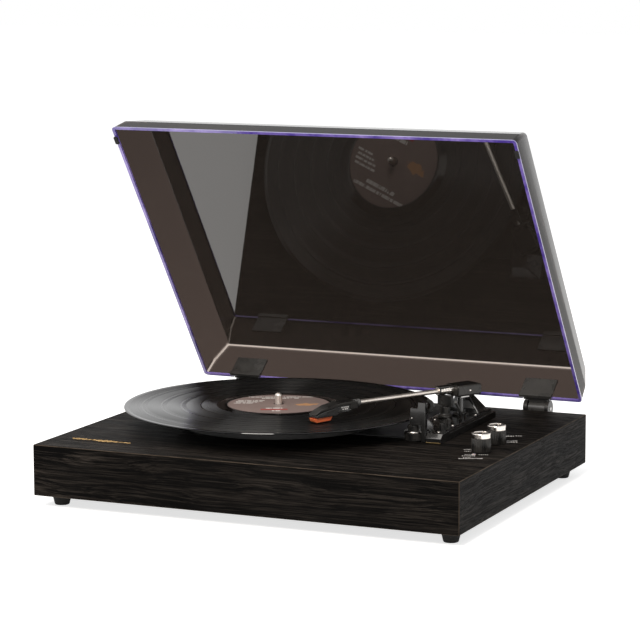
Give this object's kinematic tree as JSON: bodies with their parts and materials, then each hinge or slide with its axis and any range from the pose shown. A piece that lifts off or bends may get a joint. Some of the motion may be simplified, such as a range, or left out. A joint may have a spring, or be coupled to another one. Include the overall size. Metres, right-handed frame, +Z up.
{
  "type": "turntable record player",
  "caption": "Belt-driven turntable in a black wood-grain plinth, with a straight tonearm, two ribbed knobs, a record on the platter and a smoked dust cover hinged open.",
  "frame": {"origin": "middle of the machine's box, cover open, on the ground under the feet", "axes": "+X along the front of the plinth towards the knobs, +Y to the back where the cover is hinged, +Z up"},
  "size_m": [0.43, 0.3902, 0.3528],
  "materials": {
    "wood_grain": "black wood-grain foil, satin",
    "rubber": "matt",
    "gold": "gilt",
    "black_metal": "black paint",
    "brass": "turned",
    "steel": "turned",
    "black_plastic": "satin",
    "gloss_black": "gloss",
    "grey_plastic": "satin",
    "chrome": "polished",
    "lamp": "clear",
    "white_plastic": "gloss",
    "red_plastic": "gloss",
    "board": "solder mask",
    "vinyl": "grooved",
    "label": "printed paper",
    "orange": "satin",
    "smoked_acrylic": "smoked and clear"
  },
  "bodies": {
    "plinth_body": {"plinth": "wood_grain", "bottom_cover": "black_plastic", "foot_front_left": "rubber", "foot_front_right": "rubber", "foot_back_left": "rubber", "foot_back_right": "rubber", "ornament": "gold", "chassis_plate": "black_metal", "bearing_housing": "brass", "motor": "steel", "drive_belt": "rubber", "volume_control": "grey_plastic", "mode_switch": "grey_plastic", "status_lamp": "lamp", "jack_plate": "black_plastic", "phono_jack_left": "white_plastic", "phono_jack_right": "red_plastic", "power_inlet": "black_plastic", "main_board": "board", "arm_base": "gloss_black", "pivot_post": "gloss_black", "lift_cylinder": "black_plastic", "rest_drum": "gloss_black", "rest_ring": "chrome", "rest_bracket": "gloss_black", "hinge_socket_left": "black_plastic", "hinge_socket_right": "black_plastic", "hinge_pin_left": "steel", "hinge_pin_right": "steel"},
    "cover": {"dust_cover": "smoked_acrylic", "hinge_leaf_left": "black_plastic", "hinge_leaf_right": "black_plastic", "cover_bumper_left": "rubber", "cover_bumper_right": "rubber"},
    "turning_platter": {"platter": "black_metal", "slip_mat": "rubber", "record": "vinyl", "record_label": "label", "spindle": "steel"},
    "pulley": {"motor_pulley": "brass"},
    "arm_pivot": {"swing_yoke": "steel", "tilt_pin": "steel"},
    "tonearm": {"arm_housing": "black_plastic", "arm_collar": "chrome", "arm_tube": "chrome", "headshell_joint": "grey_plastic", "headshell": "black_plastic", "cartridge": "gloss_black", "stylus": "orange"},
    "arm_lift": {"lift_bar": "black_plastic"},
    "lift_lever": {"cue_lever": "grey_plastic"},
    "volume": {"volume_knob": "black_plastic", "volume_knob_cap": "chrome", "volume_shaft": "steel"},
    "mode": {"mode_knob": "black_plastic", "mode_knob_cap": "chrome", "mode_shaft": "steel"},
    "speed_switch": {"speed_selector": "black_plastic"},
    "stop_switch": {"auto_stop_switch": "black_plastic"},
    "arm_clip": {"rest_clip": "black_plastic"}
  },
  "joints": [
    {"name": "cover_hinge", "type": "hinge", "parent": "plinth_body", "child": "cover", "pos_m": [0, 0.1631, 0.0615], "axis": [-1, 0, 0], "range_deg": [-54.1, 6]},
    {"name": "platter_spin", "type": "hinge", "parent": "plinth_body", "child": "turning_platter", "pos_m": [-0.0424, -0.0174, 0.0715], "axis": [0, 0, 1], "continuous": true},
    {"name": "pulley_spin", "type": "hinge", "parent": "plinth_body", "child": "pulley", "pos_m": [-0.0004, 0.05535, 0.0715], "axis": [0, 0, 1], "continuous": true},
    {"name": "arm_swing", "type": "hinge", "parent": "plinth_body", "child": "arm_pivot", "pos_m": [0.118, 0.0576, 0.096], "axis": [0, 0, 1], "range_deg": [-16.9, 26]},
    {"name": "arm_tilt", "type": "hinge", "parent": "arm_pivot", "child": "tonearm", "pos_m": [0.11994, 0.06109, 0.0948], "axis": [-0.8738, 0.4863, 0], "range_deg": [0, 1.9]},
    {"name": "lift_lever_turn", "type": "hinge", "parent": "plinth_body", "child": "lift_lever", "pos_m": [0.126, 0.0411, 0.0728], "axis": [-1, 0, 0], "range_deg": [0, 50]},
    {"name": "lift_rise", "type": "slide", "parent": "plinth_body", "child": "arm_lift", "axis": [0, 0, 1], "range_m": [0, 0.000811]},
    {"name": "volume_turn", "type": "hinge", "parent": "plinth_body", "child": "volume", "pos_m": [0.186, -0.0649, 0.0715], "axis": [0, 0, 1], "range_deg": [-150, 150]},
    {"name": "mode_turn", "type": "hinge", "parent": "plinth_body", "child": "mode", "pos_m": [0.1853, -0.0222, 0.0715], "axis": [0, 0, 1], "range_deg": [-30, 30]},
    {"name": "speed_slide", "type": "slide", "parent": "plinth_body", "child": "speed_switch", "axis": [0, 1, 0], "range_m": [-0.004, 0.004]},
    {"name": "auto_stop_slide", "type": "slide", "parent": "plinth_body", "child": "stop_switch", "axis": [0, 1, 0], "range_m": [0, 0.005]},
    {"name": "arm_clip_turn", "type": "hinge", "parent": "plinth_body", "child": "arm_clip", "pos_m": [0.1169, -0.0409, 0.0858], "axis": [0, 1, 0], "range_deg": [-55, 0]}
  ],
  "couplings": [
    {"joint": "pulley_spin", "follows": "platter_spin", "ratio": 12.727},
    {"joint": "lift_lever_turn", "follows": "arm_tilt", "ratio": 26.31},
    {"joint": "lift_rise", "follows": "arm_tilt", "m_per_rad": 0.02442}
  ]
}
